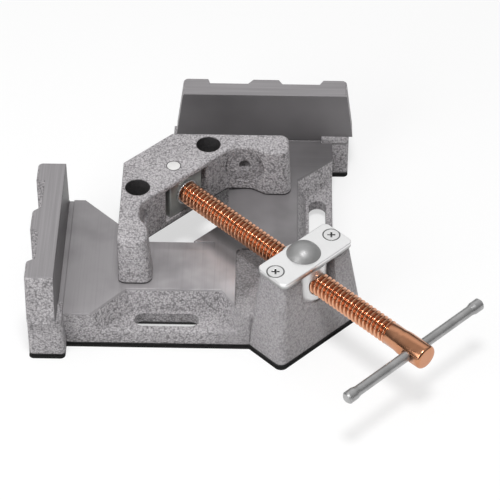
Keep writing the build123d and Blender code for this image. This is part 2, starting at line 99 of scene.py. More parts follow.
# Spindle, with its places measured along its own line
PITCH = 3.0 * MM
THREAD_MEAN_RADIUS = 6.2 * MM
THREAD_OFFSET = 0.8 * MM
THREAD_START = 103.8 * MM
THREAD_TURNS = 56
THREAD_END = THREAD_START + THREAD_TURNS * PITCH
STEPS_AROUND = 48
STEPS_IN_A_TURN = 16
MERGE_DISTANCE = 0.002 * MM
SHANK_RADIUS = 6.8 * MM
SHANK_FOOT_RADIUS = 5.4 * MM
SHANK_FOOT_DEPTH = 1.2 * MM
HEAD_RADIUS = 7.3 * MM
HEAD_CENTRE = 290.4 * MM
HEAD_HALF = 7.6 * MM
HEAD_SWELL = 4.0 * MM
SPINDLE_END = 299.6 * MM
END_ROUND = 1.6 * MM
END_RING_RADIUS = 3.6 * MM
TIP_RADIUS = 5.0 * MM
TIP_LENGTH = 7.8 * MM
TIP_CHAMFER = 0.6 * MM
TIP_ROOT_RADIUS = 5.3 * MM
CROSS_HOLE_RADIUS = 3.05 * MM
CROSS_HOLE_HALF = 12.0 * MM
CROSS_HOLE_STEPS = 48
# Radii between which the copper darkens into the thread's root, as painted shade
COPPER_ROOT = 5.5 * MM
COPPER_FLANK = 6.7 * MM

# Nut, keeper plate and the plate's two screws. The nut's dome rises above the plate.
NUT_PLACE = 201.8 * MM
PLATE_TOP = 58.3 * MM
PLATE_SCREW_SIDE = 22.8 * MM
SCREW_HEAD_RADIUS = 4.9 * MM
CROSS_REACH = 2.5 * MM

# The dark line that shows on the floor along the base's front edges, and where the
# bench slots' pockets leave it out
SHADOW_REACH = 2.0 * MM
SHADOW_HEIGHT = 0.1 * MM
POCKET_MIDDLE = 145.0 * MM
POCKET_HALF = 11.5 * MM
POCKET_END = 92.0 * MM

# Patterns, in cells or waves to the metre
GRAIN_CELLS = 880.0
GRAIN_MOTTLE = 520.0
GRAIN_CLOUD = 40.0
# Across the cutter's lines, and along them
CUTTER_LINES = 900.0
CUTTER_DRIFT = 14.0
TABLE_WEAR = 24.0
METAL_CLOUD = 70.0
METAL_GRAIN = 900.0
COPPER_CLOUD = 120.0
COPPER_GRAIN = 1100.0
# Most of a noise lies between these
NOISE_SPAN = (0.3, 0.7)
# The casting's bumps: how the cells count against the mottle, the heights between
# which pits turn to crowns, and how much the cloud shifts their tone
CELL_WEIGHT = -0.9
CROWN_SPAN = (-0.40, 0.55)
CLOUD_SHIFT = 0.5
# Depths of the bumps, and radii that the shader rounds edges by
GRAIN_DEPTH = 0.5 * MM
LINE_DEPTH = 0.02 * MM
RING_DEPTH = 0.04 * MM
METAL_DEPTH = 0.02 * MM
WORN_DEPTH = 0.03 * MM
CAST_EDGE = 0.7 * MM
METAL_EDGE = 0.3 * MM
FASTENER_EDGE = 0.15 * MM

# Tones of the castings' gray: dark and light where a pattern joins the two.
# A share says how much of a tone comes through.
BASE_CAST = (0.14, 0.51)
JAW_CAST = (0.16, 0.58)
PEDESTAL_TONE = 0.32
PEDESTAL_SHARE = 0.5
TABLE_TONES = (0.24, 0.50)
# Painted shade on the table by the fences, where they and the jaw's arm shade it
BY_FENCES_SHADE_TONE = 0.15
BY_FENCES_SHADE_SHARE = 0.5
# Painted shade on the back half of the table, where the jaw's arm and the spindle shade it
BACK_HALF_SHADE_TONE = 0.10
BACK_HALF_SHADE_SHARE = 0.6
LINES_TONE = 0.22
LINES_SHARE = 0.25
LINES_SPAN = (0.45, 0.75)
# The spindle's painted shadow on the table
SPINDLE_SHADOW_TONE = 0.04
SPINDLE_SHADOW_SHARE = 0.62
FENCE_TOP_TONES = (0.22, 0.27)
# The fence faces are the tops' machined steel, painted darker as shade
FENCE_FACE_SHADED_TONES = (0.12, 0.165)
# The raw corner is darker, both as raw casting and as painted shade low between the jaw, spindle and
# pedestal
RAW_CORNER_TONE_AND_SHADE = 0.08
RAW_CORNER_SHARE = 0.5
# Painted contact shade on the base's foot
RIM_SHADE_TONE = 0.012
RING_TONE = 0.08
RING_SHARES = (0.14, 0.32)
JAW_FACE_TONE = 0.26
# Painted shade down inside the jaw's pad holes
JAW_BORE_SHADE_TONE = 0.05
SEAM_TONE = 0.03
# Painted contact shade along the jaw's foot
FOOT_SHADE_TONE = 0.03

# Colours of the other pieces
# The thread is lighter than the plain shank and head, as painted highlight, and darker in its roots, as
# painted shade
COPPER_CREST_HIGHLIGHT = ((0.70, 0.34, 0.20, 1.0), (0.86, 0.47, 0.30, 1.0))
COPPER_PLAIN = ((0.50, 0.22, 0.115, 1.0), (0.68, 0.34, 0.20, 1.0))
COPPER_ROOT_SHADE = (0.30, 0.105, 0.048, 1.0)
NOSE_GREENISH = (0.46, 0.48, 0.45, 1.0)

# Camera, fitted to the photograph's straight edges. Angles in radians, lens in mm.
CAMERA_PLACE = (0.1228, -1.1372, 0.9667)
CAMERA_YAW = -0.01115
CAMERA_PITCH = 0.73926
CAMERA_ROLL = 0.00816
CAMERA_LENS = 168.06
CAMERA_SENSOR = 36.0
CAMERA_REACH = 20.0

# Floor, and the point in the clamp that both lamps face
FLOOR_HALF = 3.0
FLOOR_GRAY = 0.9
FLOOR_WHITE_SHARE = 0.6
CONTACT_GRAY = 0.02
LAMP_AIM = (0.10, -0.10, 0.03)

# World. A place in it is how far a direction of length 1 goes back, along Y, or up.
DOME_RISE = (0.10, 0.85)
DOME_STRENGTH = (0.12, 0.55)
FRONT_FADE = (-0.75, -0.15)
LOW_FADE = (0.55, 0.80)
LOW_FRONT_SHADE = 0.8
BEHIND_RISE = (0.35, 0.65)
GLOW_MIDDLE = 0.66
GLOW_HALF = 0.12
GLOW_FADE = 0.25
GLOW_STRENGTH = 0.45

# The Mix node's sockets: its two inputs and its result
MIX_SOCKETS = {"RGBA": (6, 7, 2), "FLOAT": (2, 3, 0)}


class Wiring:
    """Short calls for the nodes of one tree. An input takes a value or another node's output."""

    def __init__(self, tree):
        self.tree = tree

    def feed(self, socket, value):
        if isinstance(value, bpy.types.NodeSocket):
            self.tree.links.new(value, socket)
        else:
            socket.default_value = value

    def add(self, kind, inputs=None, **settings):
        node = self.tree.nodes.new(kind)
        for name, value in settings.items():
            setattr(node, name, value)
        for key, value in (inputs or {}).items():
            self.feed(node.inputs[key], value)
        return node

    def math(self, operation, first, second=0.0, clamp=False):
        inputs = {0: first, 1: second}
        return self.add("ShaderNodeMath", inputs, operation=operation, use_clamp=clamp).outputs[0]

    def ramp(self, value, low, high, start=0.0, end=1.0):
        """A smooth step of value from start to end between low and high."""
        node = self.add(
            "ShaderNodeMapRange",
            {"Value": value, "From Min": low, "From Max": high, "To Min": start, "To Max": end},
            interpolation_type="SMOOTHSTEP",
        )
        return node.outputs["Result"]

    def fall(self, value, low, high):
        """1 below low, and 0 above high."""
        return self.ramp(value, low, high, 1.0, 0.0)

    def spread(self, noise, start=0.0, end=1.0):
        """A noise drawn out to the whole way from start to end."""
        return self.ramp(noise, *NOISE_SPAN, start, end)

    def near(self, value, centre, half, soft):
        """1 where value lies within half of centre, and 0 past a soft edge."""
        away = self.math("ABSOLUTE", self.math("SUBTRACT", value, centre))
        return self.fall(away, half, half + soft)

    def times(self, value, factor):
        return self.math("MULTIPLY", value, factor)

    def minus(self, value):
        return self.times(value, -1.0)

    def outside(self, mask):
        return self.math("SUBTRACT", 1.0, mask)

    def both(self, *masks):
        result = masks[0]
        for mask in masks[1:]:
            result = self.times(result, mask)
        return result

    def either(self, *masks):
        result = masks[0]
        for mask in masks[1:]:
            result = self.math("MAXIMUM", result, mask)
        return result

    def mix(self, kind, share, first, second):
        node = self.add("ShaderNodeMix", data_type=kind)
        one, two, result = MIX_SOCKETS[kind]
        for socket, value in ((0, share), (one, first), (two, second)):
            self.feed(node.inputs[socket], value)
        return node.outputs[result]

    def blend(self, share, first, second):
        """The first colour where share is 0, and the second where it is 1."""
        return self.mix("RGBA", share, first, second)

    def between(self, share, first, second):
        """The first number where share is 0, and the second where it is 1."""
        return self.mix("FLOAT", share, first, second)

    def layered(self, colour, *layers):
        """A colour with others laid over it, each through its mask."""
        for mask, over in layers:
            colour = self.blend(mask, colour, over)
        return colour


def gray(value, warm=0.0):
    return (value * (1 + warm), value, value * (1 - warm), 1.0)


def enamel(value):
    """The castings' gray, faintly purple."""
    return (value * 1.02, value * 0.975, value * 1.005, 1.0)


def cleared_tree(owner):
    """The node tree of a new material or world, with nothing in it."""
    owner.use_nodes = True
    owner.node_tree.nodes.clear()
    return owner.node_tree


class Finish(Wiring):
    """A material with one shader, and the object's coordinates in metres."""

    def __init__(self, name):
        self.material = bpy.data.materials.new(name)
        super().__init__(cleared_tree(self.material))
        self.shader = self.add("ShaderNodeBsdfPrincipled")
        self.add("ShaderNodeOutputMaterial", {"Surface": self.shader.outputs["BSDF"]})
        self.place = self.add("ShaderNodeTexCoord").outputs["Object"]
        self.x, self.y, self.z = self.add("ShaderNodeSeparateXYZ", {0: self.place}).outputs

    def set(self, **values):
        """Feeds the shader's inputs, each named with _ for a space."""
        for name, value in values.items():
            self.feed(self.shader.inputs[name.replace("_", " ")], value)

    def diagonal(self):
        """How far each point lies along the spindle's line, and how far across it."""
        along = self.times(self.math("SUBTRACT", self.x, self.y), HALF_ROOT)
        across = self.times(self.math("ADD", self.x, self.y), HALF_ROOT)
        return along, across

    def away(self, first, first_centre, second, second_centre):
        """Distance from a line that two of the coordinates give the place of."""
        one = self.math("POWER", self.math("SUBTRACT", first, first_centre), 2.0)
        two = self.math("POWER", self.math("SUBTRACT", second, second_centre), 2.0)
        return self.math("SQRT", self.math("ADD", one, two))

    def from_plate_screw(self):
        """Distance from the upright axis of the nearer plate screw."""
        along, across = self.diagonal()
        return self.away(along, NUT_PLACE, self.math("ABSOLUTE", across), PLATE_SCREW_SIDE)

    def stretched(self, scale):
        """The object's coordinates, scaled along each axis."""
        node = self.add("ShaderNodeVectorMath", {0: self.place, 1: scale}, operation="MULTIPLY")
        return node.outputs[0]

    def noise(self, scale, detail=2.0, roughness=0.5, place=None):
        node = self.add(
            "ShaderNodeTexNoise",
            {
                "Vector": place or self.place,
                "Scale": scale,
                "Detail": detail,
                "Roughness": roughness,
            },
        )
        return node.outputs["Fac"]

    def cells(self, scale):
        node = self.add(
            "ShaderNodeTexVoronoi",
            {"Vector": self.place, "Scale": scale, "Smoothness": 0.6},
            feature="SMOOTH_F1",
        )
        return node.outputs["Distance"]

    def bump(self, height, depth, strength=1.0, normal=None):
        inputs = {"Height": height, "Distance": depth, "Strength": strength}
        if normal is not None:
            inputs["Normal"] = normal
        return self.add("ShaderNodeBump", inputs).outputs["Normal"]

    def soft_edges(self, radius):
        return self.add("ShaderNodeBevel", {"Radius": radius}, samples=6).outputs["Normal"]


def cast_enamel(finish, tones):
    """Rough casting under gray enamel: small bumps, with painted light on each crown and painted shade
    in the pits.
    """
    grain = finish.cells(GRAIN_CELLS)
    mottle = finish.noise(GRAIN_MOTTLE, detail=5.0, roughness=0.72)
    cloud = finish.noise(GRAIN_CLOUD)
    height = finish.math("ADD", finish.times(grain, CELL_WEIGHT), mottle)
    # Painted light on the crowns and painted shade in the pits
    crowns = finish.ramp(height, *CROWN_SPAN)
    drift = finish.times(finish.math("SUBTRACT", cloud, 0.5), CLOUD_SHIFT)
    tone = finish.math("ADD", crowns, drift, clamp=True)
    dark, light = tones
    return height, finish.blend(tone, enamel(dark), enamel(light))


def cutter_lines(finish, back_half):
    """The cutter's fine lines, which run along the fence that each half of the table lies by."""
    halves = []
    for scale in (
        (CUTTER_LINES, CUTTER_DRIFT, CUTTER_DRIFT),
        (CUTTER_DRIFT, CUTTER_LINES, CUTTER_DRIFT),
    ):
        place = finish.stretched(scale)
        halves.append(finish.noise(1.0, detail=3.0, roughness=0.6, place=place))
    return finish.between(back_half, *halves)


def table_colour(finish, lines, back_half, from_fences, across):
    """Bare metal with a random tone, and painted shade: darker by the fences and on the back half, with
    the spindle's painted shadow under it.
    """
    dark, light = TABLE_TONES
    wear = finish.noise(TABLE_WEAR, 3.0)
    # Painted shade near the fences
    shaded_by_fences = finish.ramp(from_fences, BY_FENCES_START, BY_FENCES_END, BY_FENCES_SHADE_SHARE, 0.0)
    # The spindle's painted shadow, in a band under its line
    spindle_shadow = finish.near(across, 0.0, BAND_HALF, BAND_FADE)
    return finish.layered(
        finish.blend(finish.spread(wear), enamel(dark), enamel(light)),
        (shaded_by_fences, enamel(BY_FENCES_SHADE_TONE)),
        # Painted shade on the back half
        (finish.times(back_half, BACK_HALF_SHADE_SHARE), enamel(BACK_HALF_SHADE_TONE)),
        (finish.ramp(lines, *LINES_SPAN, 0.0, LINES_SHARE), enamel(LINES_TONE)),
        (finish.times(spindle_shadow, SPINDLE_SHADOW_SHARE), enamel(SPINDLE_SHADOW_TONE)),
    )


def base_finish():
    """Enamel on the base casting, with its table and fences machined."""
    finish = Finish("cast_base")
    x, y, z = finish.x, finish.y, finish.z
    along, across = finish.diagonal()
    from_fences = finish.math("MINIMUM", x, finish.minus(y))
    back_half = finish.ramp(finish.math("ADD", x, y), -4.0 * MM, 4.0 * MM)

    # Where each surface lies
    pedestal = finish.ramp(along, PEDESTAL_START, PEDESTAL_START + PEDESTAL_FADE)
    raw_corner = finish.both(
        finish.ramp(x, RAW_CORNER_START, RAW_CORNER_START + 0.2 * MM),
        finish.fall(y, -RAW_CORNER_START - 0.2 * MM, -RAW_CORNER_START),
    )
    level = finish.near(z, TABLE_HEIGHT - 0.5 * MM, 0.6 * MM, HAIR)
    inside = finish.ramp(from_fences, -0.3 * MM, -0.1 * MM)
    table = finish.both(level, inside, finish.outside(raw_corner))
    fence_top = finish.ramp(z, FENCE_HEIGHT - 0.3 * MM, FENCE_HEIGHT - 0.15 * MM)
    above = finish.ramp(z, TABLE_HEIGHT - 1.1 * MM, TABLE_HEIGHT - 0.9 * MM)
    fence_face = finish.either(
        finish.both(finish.near(y, 0.0, HAIR, HAIR), above),
        finish.both(finish.near(x, 0.0, HAIR, HAIR), above),
    )
    machined = finish.either(table, fence_top, fence_face)
    raw_level = finish.both(level, raw_corner, finish.outside(pedestal))

    height, cast_colour = cast_enamel(finish, BASE_CAST)
    lines = cutter_lines(finish, back_half)
    spread_lines = finish.spread(lines)
    # The fence faces are painted darker than the tops, as shade
    top_colour, shaded_face_colour = (
        finish.blend(spread_lines, enamel(dark), enamel(light))
        for dark, light in (FENCE_TOP_TONES, FENCE_FACE_SHADED_TONES)
    )
    finish.set(
        Base_Color=finish.layered(
            cast_colour,
            (finish.times(pedestal, PEDESTAL_SHARE), enamel(PEDESTAL_TONE)),
            (table, table_colour(finish, lines, back_half, from_fences, across)),
            (fence_top, top_colour),
            (fence_face, shaded_face_colour),
            # Raw casting, darker also as painted shade
            (finish.times(raw_level, RAW_CORNER_SHARE), enamel(RAW_CORNER_TONE_AND_SHADE)),
            # Painted contact shade along the foot
            (finish.fall(z, RIM_HEIGHT, RIM_END), enamel(RIM_SHADE_TONE)),
        ),
        Metallic=finish.times(table, 0.25),
        Roughness=finish.between(table, finish.between(machined, 0.52, 0.45), 0.36),
    )
    edges = finish.soft_edges(CAST_EDGE)
    rough = finish.bump(height, GRAIN_DEPTH, finish.outside(machined), edges)
    finish.set(Normal=finish.bump(lines, LINE_DEPTH, machined, rough))
    return finish.material


def cutter_rings(finish, reach, depth):
    """The cutter's rings round the pad hole on the inside of one arm, and where they lie."""
    radius = finish.away(reach, RING_PLACE, finish.z, AXIS_HEIGHT)
    wave = finish.math("SINE", finish.times(radius, math.tau / RING_STEP))
    spot = finish.both(
        finish.fall(radius, RING_RADIUS - RING_FADE, RING_RADIUS),
        finish.near(depth, WAIST_DEPTH, 1.6 * MM, 1.0 * MM),
    )
    return wave, spot


def jaw_finish():
    """Enamel on the moving jaw, with its faces machined, and painted shade inside its holes and along
    its foot.
    """
    finish = Finish("cast_jaw")
    x, z = finish.x, finish.z
    minus_y = finish.minus(finish.y)
    along, across = finish.diagonal()
    height, cast_colour = cast_enamel(finish, JAW_CAST)

    wave_one, spot_one = cutter_rings(finish, x, minus_y)
    wave_two, spot_two = cutter_rings(finish, minus_y, x)
    wave = finish.between(spot_two, wave_one, wave_two)
    spot = finish.either(spot_one, spot_two)
    face = finish.either(
        finish.near(minus_y, JAW_FACE, HAIR, HAIR),
        finish.near(x, JAW_FACE, HAIR, HAIR),
    )
    from_hole = finish.away(along, JAW_HOLE_PLACE, finish.math("ABSOLUTE", across), JAW_HOLE_SIDE)
    # Painted shade down inside the pad holes
    bore = finish.both(
        finish.fall(from_hole, JAW_HOLE_RADIUS + 0.05 * MM, JAW_HOLE_RADIUS + 0.1 * MM),
        finish.fall(z, JAW_TOP - 0.9 * MM, JAW_TOP - 0.2 * MM),
    )
    from_pin = finish.away(along, PIVOT_PLACE, across, 0.0)
    seam = finish.fall(from_pin, PIVOT_RADIUS + 0.3 * MM, PIVOT_RADIUS + 0.7 * MM)
    # Painted contact shade along the jaw's foot on the table
    foot = finish.fall(z, JAW_BOTTOM + 0.3 * MM, JAW_BOTTOM + 1.3 * MM)
    ring_share = finish.both(spot, finish.ramp(wave, -1.0, 1.0, *RING_SHARES))
    finish.set(
        Base_Color=finish.layered(
            cast_colour,
            (ring_share, enamel(RING_TONE)),
            (face, enamel(JAW_FACE_TONE)),
            (bore, enamel(JAW_BORE_SHADE_TONE)),
            (seam, enamel(SEAM_TONE)),
            (foot, enamel(FOOT_SHADE_TONE)),
        ),
        Roughness=finish.between(face, 0.50, 0.38),
        Metallic=finish.times(face, 0.6),
    )
    edges = finish.soft_edges(CAST_EDGE)
    rough = finish.bump(height, GRAIN_DEPTH, finish.outside(face), edges)
    finish.set(Normal=finish.bump(wave, RING_DEPTH, spot, rough))
    return finish.material


def metal_finish(name, dark, light, roughness, metallic):
    """Plain plated or machined metal with faint clouding and a fine grain."""
    finish = Finish(name)
    cloud = finish.noise(METAL_CLOUD, 3.0)
    fine = finish.noise(METAL_GRAIN)
    finish.set(
        Base_Color=finish.blend(finish.spread(cloud), dark, light),
        Metallic=metallic,
        Roughness=finish.spread(fine, roughness - 0.05, roughness + 0.08),
        Normal=finish.bump(fine, METAL_DEPTH, 1.0, finish.soft_edges(METAL_EDGE)),
    )
    return finish.material


def copper_finish():
    """Copper plating, lighter on the thread as painted highlight on its crests, and darker in its roots
    as painted shade.
    """
    finish = Finish("copper_plating")
    along, across = finish.diagonal()
    radius = finish.away(across, 0.0, finish.z, AXIS_HEIGHT)
    threaded = finish.fall(along, THREAD_END - 0.4 * MM, THREAD_END + 0.4 * MM)
    shaded_root = finish.both(finish.fall(radius, COPPER_ROOT, COPPER_FLANK), threaded)
    cloud = finish.noise(COPPER_CLOUD, 3.0)
    highlit_crests = finish.blend(cloud, *COPPER_CREST_HIGHLIGHT)
    plain = finish.blend(cloud, *COPPER_PLAIN)
    finish.set(
        Base_Color=finish.layered(plain, (threaded, highlit_crests), (shaded_root, COPPER_ROOT_SHADE)),
        Metallic=1.0,
        Roughness=finish.spread(cloud, 0.13, 0.22),
        Normal=finish.bump(finish.noise(COPPER_GRAIN), WORN_DEPTH),
    )
    return finish.material


def nut_finish():
    """Zinc on the nut's barrel, duller on its worn dome."""
    finish = Finish("nut_zinc")
    cloud = finish.noise(METAL_CLOUD, 3.0)
    fine = finish.noise(METAL_GRAIN)
    dome = finish.ramp(finish.z, PLATE_TOP - HAIR, PLATE_TOP + HAIR)
    barrel_colour = finish.blend(cloud, gray(0.68), gray(0.82))
    dome_colour = finish.blend(cloud, gray(0.26), gray(0.38))
    finish.set(
        Base_Color=finish.blend(dome, barrel_colour, dome_colour),
        Metallic=finish.between(dome, 0.8, 0.45),
        Roughness=finish.between(dome, 0.36, finish.spread(fine, 0.38, 0.50)),
        Normal=finish.bump(fine, WORN_DEPTH, 1.0, finish.soft_edges(METAL_EDGE)),
    )
    return finish.material


def plate_finish():
    """Bright zinc on the keeper plate, with its sides painted darker as shade, and a dark seam round
    each screw's head.
    """
    finish = Finish("plate_zinc")
    cloud = finish.noise(METAL_CLOUD, 3.0)
    fine = finish.noise(METAL_GRAIN)
    from_screw = finish.from_plate_screw()
    seam = finish.fall(from_screw, SCREW_HEAD_RADIUS + 0.3 * MM, SCREW_HEAD_RADIUS + 0.6 * MM)
    # Painted shade on the plate's sides, below its top
    foot = finish.fall(finish.z, PLATE_TOP - 2.6 * MM, PLATE_TOP - 0.7 * MM)
    zinc = finish.blend(cloud, gray(0.86), gray(0.94))
    finish.set(
        Base_Color=finish.layered(zinc, (foot, gray(0.42)), (seam, gray(0.20))),
        Metallic=0.85,
        Roughness=finish.spread(fine, 0.29, 0.42),
        Normal=finish.bump(fine, METAL_DEPTH, 1.0, finish.soft_edges(METAL_EDGE)),
    )
    return finish.material


def fastener_finish():
    """Zinc on the plate's screws, with painted shade down in the cross."""
    finish = Finish("fastener_zinc")
    cloud = finish.noise(METAL_CLOUD, 3.0)
    # Painted shade down in the cross recess
    cross = finish.both(
        finish.fall(finish.from_plate_screw(), CROSS_REACH, CROSS_REACH + 0.1 * MM),
        finish.fall(finish.z, PLATE_TOP - 0.4 * MM, PLATE_TOP - 0.1 * MM),
    )
    zinc = finish.blend(cloud, gray(0.76), gray(0.88))
    finish.set(
        Base_Color=finish.blend(cross, zinc, gray(0.16)),
        Metallic=0.85,
        Roughness=0.36,
        Normal=finish.soft_edges(FASTENER_EDGE),
    )
    return finish.material


def apply_modifiers(piece):
    """Gives the piece its evaluated shape as its own plain mesh, with no modifiers left."""
    bpy.context.view_layer.update()
    shown = piece.evaluated_get(bpy.context.evaluated_depsgraph_get())
    mesh = bpy.data.meshes.new_from_object(shown)
    piece.modifiers.clear()
    piece.data = mesh


def add_piece(name, data):
    piece = bpy.data.objects.new(name, data)
    bpy.context.scene.collection.objects.link(piece)
    return piece


def thread_tree():
    """The rolled thread: a grid wrapped round the axis, its section a circle set off
    the axis that turns once in each pitch."""
    tree = bpy.data.node_groups.new("rolled_thread", "GeometryNodeTree")
    for kind, names in (
        ("Geometry", ("Geometry",)),
        ("Float", ("Mean Radius", "Offset", "Pitch", "Start")),
        ("Int", ("Turns", "Steps Around", "Steps In A Turn")),
        ("Material", ("Finish",)),
    ):
        for name in names:
            tree.interface.new_socket(name, in_out="INPUT", socket_type="NodeSocket" + kind)
    tree.interface.new_socket("Geometry", in_out="OUTPUT", socket_type="NodeSocketGeometry")
    wires = Wiring(tree)
    given = wires.add("NodeGroupInput").outputs

    # A flat grid of one metre each way: X becomes the angle, and Y the way along the axis
    rows = wires.math("ADD", wires.times(given["Turns"], given["Steps In A Turn"]), 1.0)
    columns = wires.math("ADD", given["Steps Around"], 1.0)
    grid = wires.add(
        "GeometryNodeMeshGrid",
        {"Size X": 1.0, "Size Y": 1.0, "Vertices X": columns, "Vertices Y": rows},
    )
    place = wires.add("GeometryNodeInputPosition").outputs[0]
    across, onward, _ = wires.add("ShaderNodeSeparateXYZ", {0: place}).outputs
    angle = wires.times(wires.math("ADD", across, 0.5), math.tau)
    turned = wires.times(wires.math("ADD", onward, 0.5), given["Turns"])

    # Radius of the circle set off the axis, seen from the axis at this angle
    away = wires.math("SUBTRACT", angle, wires.times(turned, math.tau))
    side = wires.times(given["Offset"], wires.math("SINE", away))
    square = wires.math("POWER", given["Mean Radius"], 2.0)
    reach = wires.math("SQRT", wires.math("SUBTRACT", square, wires.math("POWER", side, 2.0)))
    radius = wires.math("ADD", reach, wires.times(given["Offset"], wires.math("COSINE", away)))
    point = wires.add(
        "ShaderNodeCombineXYZ",
        {
            0: wires.times(radius, wires.math("COSINE", angle)),
            1: wires.times(radius, wires.math("SINE", angle)),
            2: wires.math("ADD", wires.times(turned, given["Pitch"]), given["Start"]),
        },
    )
    placed = wires.add(
        "GeometryNodeSetPosition", {"Geometry": grid.outputs["Mesh"], "Position": point.outputs[0]}
    )
    closed = wires.add(
        "GeometryNodeMergeByDistance", {"Geometry": placed.outputs[0], "Distance": MERGE_DISTANCE}
    )
    smooth = wires.add("GeometryNodeSetShadeSmooth", {0: closed.outputs[0]})
    real = wires.add("GeometryNodeRealizeInstances", {0: smooth.outputs[0]})
    dressed = wires.add(
        "GeometryNodeSetMaterial", {"Geometry": real.outputs[0], "Material": given["Finish"]}
    )
    wires.add("NodeGroupOutput", {0: dressed.outputs[0]})
    return tree


def spindle_thread(material):
    tree = thread_tree()
    piece = add_piece("thread", bpy.data.meshes.new("thread"))
    modifier = piece.modifiers.new("nodes", "NODES")
    modifier.node_group = tree
    inputs = {item.name: item.identifier for item in tree.interface.items_tree if item.in_out == "INPUT"}
    for name, value in (
        ("Mean Radius", THREAD_MEAN_RADIUS),
        ("Offset", THREAD_OFFSET),
        ("Pitch", PITCH),
        ("Start", THREAD_START),
        ("Turns", THREAD_TURNS),
        ("Steps Around", STEPS_AROUND),
        ("Steps In A Turn", STEPS_IN_A_TURN),
        ("Finish", material),
    ):
        modifier[inputs[name]] = value
    apply_modifiers(piece)
    return piece


def turned_mesh(name, profile, steps=64):
    """A closed mesh of revolution about Z from (radius, height) points, bottom to top."""
    mesh = bmesh.new()
    rings = []
    for radius, height in profile:
        if radius == 0.0:
            rings.append([mesh.verts.new((0.0, 0.0, height))])
            continue
        ring = []
        for step in range(steps):
            angle = math.tau * step / steps
            ring.append(mesh.verts.new((radius * math.cos(angle), radius * math.sin(angle), height)))
        rings.append(ring)
    for low, high in zip(rings, rings[1:]):
        for step in range(steps):
            after = (step + 1) % steps
            if len(low) == 1:
                corners = [low[0], high[after], high[step]]
            elif len(high) == 1:
                corners = [low[step], low[after], high[0]]
            else:
                corners = [low[step], low[after], high[after], high[step]]
            mesh.faces.new(corners).smooth = True
    bmesh.ops.recalc_face_normals(mesh, faces=mesh.faces)
    data = bpy.data.meshes.new(name)
    mesh.to_mesh(data)
    mesh.free()
    return data


def rounded_edge(centre_radius, centre_height, radius, steps=6):
    """Points of a quarter round, from its outermost to its highest."""
    points = []
    for step in range(steps + 1):
        angle = math.radians(90 * step / steps)
        points.append(
            (centre_radius + radius * math.cos(angle), centre_height + radius * math.sin(angle))
        )
    return points


def spindle_head():
    """Plain shank and swelled head with the cross hole for the bar."""
    swelled = HEAD_CENTRE - HEAD_HALF
    profile = [
        (0.0, THREAD_END - SHANK_FOOT_DEPTH),
        (SHANK_FOOT_RADIUS, THREAD_END - SHANK_FOOT_DEPTH),
        (SHANK_RADIUS - 0.4 * MM, THREAD_END - 0.3 * MM),
        (SHANK_RADIUS, THREAD_END + 0.4 * MM),
        (SHANK_RADIUS, swelled - HEAD_SWELL),
        (SHANK_RADIUS + 0.1 * MM, swelled - 3.0 * MM),
        (HEAD_RADIUS - 0.1 * MM, swelled - 1.0 * MM),
        (HEAD_RADIUS, swelled),
    ]
    profile += rounded_edge(HEAD_RADIUS - END_ROUND, SPINDLE_END - END_ROUND, END_ROUND)
    profile += [(END_RING_RADIUS, SPINDLE_END), (0.0, SPINDLE_END)]
    head = add_piece("spindle_head", turned_mesh("spindle_head", profile))

    hole_profile = [
        (0.0, -CROSS_HOLE_HALF),
        (CROSS_HOLE_RADIUS, -CROSS_HOLE_HALF),
        (CROSS_HOLE_RADIUS, CROSS_HOLE_HALF),
        (0.0, CROSS_HOLE_HALF),
    ]
    hole = turned_mesh("cross_hole", hole_profile, CROSS_HOLE_STEPS)
    lying = Matrix.Rotation(math.pi / 2, 4, "X")
    hole.transform(Matrix.Translation((0.0, 0.0, HEAD_CENTRE)) @ lying)
    cutter = add_piece("cross_hole", hole)
    cut = head.modifiers.new("cross_hole", "BOOLEAN")
    cut.object = cutter
    cut.solver = "EXACT"
    apply_modifiers(head)
    bpy.data.objects.remove(cutter)
    return head


def spindle_tip():
    """The tip that turns in the nose block, as far as the thread's first turn."""
    profile = [
        (0.0, THREAD_START - TIP_LENGTH),
        (TIP_RADIUS - TIP_CHAMFER, THREAD_START - TIP_LENGTH),
        (TIP_RADIUS, THREAD_START - TIP_LENGTH + TIP_CHAMFER),
        (TIP_RADIUS, THREAD_START + 0.2 * MM),
        (TIP_ROOT_RADIUS, THREAD_START + 0.1 * MM),
        (0.0, THREAD_START + 0.3 * MM),
    ]
    return add_piece("spindle_tip", turned_mesh("spindle_tip", profile))


def joined(name, pieces):
    """One piece at the origin from several, which it takes the place of."""
    whole = bmesh.new()
    for piece in pieces:
        whole.from_mesh(piece.data)
    data = bpy.data.meshes.new(name)
    whole.to_mesh(data)
    whole.free()
    for piece in pieces:
        bpy.data.objects.remove(piece)
    return add_piece(name, data)


def spindle_frame():
    """From the spindle's own frame, with Z along the screw, to its place."""
    turn = Matrix((-UP, ACROSS, ALONG)).transposed().to_4x4()
    return Matrix.Translation((0.0, 0.0, AXIS_HEIGHT)) @ turn


def spindle(material):
    piece = joined("copper_spindle", [spindle_thread(material), spindle_head(), spindle_tip()])
    piece.data.transform(spindle_frame())
    piece.data.materials.append(material)
    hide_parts("clamp_screw")
    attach(piece, "screw")


